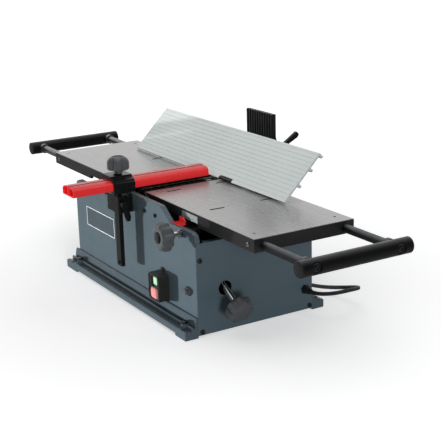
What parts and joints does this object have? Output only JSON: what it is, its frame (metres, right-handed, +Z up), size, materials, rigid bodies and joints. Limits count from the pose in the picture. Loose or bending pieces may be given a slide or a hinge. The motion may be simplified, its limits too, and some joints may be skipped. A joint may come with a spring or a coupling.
{
  "type": "thickness planer",
  "caption": "Bench-top surface planer with two long tables, sliding bridge guard, tilting fence, inclined infeed table with depth screw, and pull-out end supports.",
  "frame": {"origin": "centre of the four bench-bolt holes, at the undersides of the foot rails", "axes": "+X towards the infeed end, -Y towards the operator, +Z up"},
  "size_m": [1.1398, 0.5436, 0.357],
  "materials": {
    "case_paint": "satin slate-grey powder coat",
    "rail_paint": "dark slate powder coat",
    "black_paint": "black powder coat",
    "frame_alloy": "as-cast",
    "table_alloy": "ground top, dark coated sides",
    "steel": "turned",
    "dark_steel": "black oxide",
    "rubber": "matte",
    "black_plastic": "fine texture",
    "red_anodised": "gloss red",
    "fence_alloy": "ribbed, anodised",
    "scale": "satin plate",
    "plate_print": "plain",
    "green_plastic": "gloss",
    "red_plastic": "gloss",
    "copper_core": "laminated"
  },
  "bodies": {
    "base": {"front_panel": "case_paint", "rear_panel": "case_paint", "right_end_panel": "case_paint", "left_end_panel": "case_paint", "front_rail": "rail_paint", "rear_rail": "rail_paint", "base_tray": "case_paint", "main_frame": "frame_alloy", "outfeed_table": "table_alloy", "case_screws": "dark_steel", "outfeed_clamp_screws": "steel", "cutterhead_bearings": "steel", "drive_belt": "rubber", "motor_housing": "frame_alloy", "motor_stator": "copper_core", "brush_caps": "black_plastic", "dust_chute": "black_plastic", "switch_housing": "black_plastic", "reset_breaker": "black_plastic", "name_plate": "plate_print", "depth_pointer": "red_anodised", "guard_bracket": "black_paint", "fence_guide": "black_paint", "cord_gland": "black_plastic", "mains_cord": "rubber", "mains_cord_coil": "rubber", "mains_plug": "black_plastic"},
    "infeed": {"infeed_table": "table_alloy", "infeed_carriage": "frame_alloy", "depth_scale": "scale", "infeed_clamp_screws": "steel"},
    "depth_control": {"depth_screw": "steel", "depth_knob": "black_plastic"},
    "table_lock": {"lock_screw": "steel", "lock_knob": "black_plastic"},
    "cutterhead": {"cutterhead_drum": "steel", "cutterhead_knives": "steel", "knife_gibs": "dark_steel", "cutterhead_pulley": "frame_alloy"},
    "rotor": {"motor_rotor": "steel", "motor_pulley": "frame_alloy"},
    "guard_arm": {"guard_post": "black_paint", "guard_clamp": "black_paint"},
    "guard": {"guard_bar": "red_anodised"},
    "guard_clamp_knob": {"guard_knob": "black_plastic"},
    "guard_lock": {"guard_lever": "black_paint"},
    "fence_slide_block": {"fence_carriage": "black_paint"},
    "fence": {"fence_face": "fence_alloy", "fence_bracket": "black_paint"},
    "tilt_lock": {"fence_tilt_lever": "black_paint"},
    "slide_lock": {"fence_slide_lever": "black_paint"},
    "infeed_support": {"infeed_support_tube": "black_paint", "infeed_support_rods": "dark_steel", "infeed_support_trim": "black_plastic"},
    "outfeed_support": {"outfeed_support_tube": "black_paint", "outfeed_support_rods": "steel", "outfeed_support_trim": "black_plastic"},
    "start": {"start_button": "green_plastic"},
    "stop": {"stop_button": "red_plastic"},
    "reset": {"reset_button": "black_plastic"}
  },
  "joints": [
    {"name": "depth_knob_turn", "type": "hinge", "parent": "base", "child": "depth_control", "pos_m": [0.261, -0.069, 0.0869], "axis": [0.866, 0, -0.5], "range_deg": [0, 1152.5]},
    {"name": "infeed_table_slide", "type": "slide", "parent": "base", "child": "infeed", "axis": [0.866, 0, -0.5], "range_m": [0, 0.0064]},
    {"name": "table_lock_turn", "type": "hinge", "parent": "base", "child": "table_lock", "pos_m": [0.208, -0.15, 0.19], "axis": [0, -1, 0], "range_deg": [0, 180]},
    {"name": "cutterhead_spin", "type": "hinge", "parent": "base", "child": "cutterhead", "pos_m": [0, 0, 0.197], "axis": [0, 1, 0], "continuous": true},
    {"name": "motor_spin", "type": "hinge", "parent": "base", "child": "rotor", "pos_m": [-0.105, 0, 0.11], "axis": [0, 1, 0], "continuous": true},
    {"name": "guard_lift", "type": "slide", "parent": "base", "child": "guard_arm", "axis": [0, 0, 1], "range_m": [-0.004, 0.06]},
    {"name": "guard_slide", "type": "slide", "parent": "guard_arm", "child": "guard", "axis": [0, 1, 0], "range_m": [-0.14, 0.009]},
    {"name": "guard_knob_turn", "type": "hinge", "parent": "guard_arm", "child": "guard_clamp_knob", "pos_m": [-0.014, -0.145, 0.27], "axis": [0, 0, 1], "range_deg": [0, 360]},
    {"name": "guard_lever_turn", "type": "hinge", "parent": "base", "child": "guard_lock", "pos_m": [0.02, -0.15, 0.206], "axis": [1, 0, 0], "range_deg": [-90, 0]},
    {"name": "fence_slide", "type": "slide", "parent": "base", "child": "fence_slide_block", "axis": [0, 1, 0], "range_m": [-0.008, 0.04]},
    {"name": "fence_tilt", "type": "hinge", "parent": "fence_slide_block", "child": "fence", "pos_m": [0, 0.0646, 0.2313], "axis": [1, 0, 0], "range_deg": [0, 45]},
    {"name": "fence_tilt_lever_turn", "type": "hinge", "parent": "fence_slide_block", "child": "tilt_lock", "pos_m": [0.1, 0.15384, 0.28663], "axis": [1, 0, 0], "range_deg": [-60, 20]},
    {"name": "fence_slide_lever_turn", "type": "hinge", "parent": "fence_slide_block", "child": "slide_lock", "pos_m": [0.035, 0.19, 0.24], "axis": [0, 0, 1], "range_deg": [-50, 50]},
    {"name": "infeed_support_slide", "type": "slide", "parent": "infeed", "child": "infeed_support", "axis": [1, 0, 0], "range_m": [-0.114, 0.07]},
    {"name": "outfeed_support_slide", "type": "slide", "parent": "base", "child": "outfeed_support", "axis": [-1, 0, 0], "range_m": [-0.107, 0.07]},
    {"name": "start_press", "type": "slide", "parent": "base", "child": "start", "axis": [0, 1, 0], "range_m": [0, 0.0025], "stiffness_N_per_m": 600, "springref_m": -0.001},
    {"name": "stop_press", "type": "slide", "parent": "base", "child": "stop", "axis": [0, 1, 0], "range_m": [0, 0.003], "stiffness_N_per_m": 600, "springref_m": -0.001},
    {"name": "reset_press", "type": "slide", "parent": "base", "child": "reset", "axis": [0, 1, 0], "range_m": [0, 0.003], "stiffness_N_per_m": 600, "springref_m": -0.001}
  ],
  "couplings": [
    {"joint": "depth_knob_turn", "follows": "infeed_table_slide", "rad_per_m": 3141.6},
    {"joint": "motor_spin", "follows": "cutterhead_spin", "ratio": 1.5455}
  ]
}
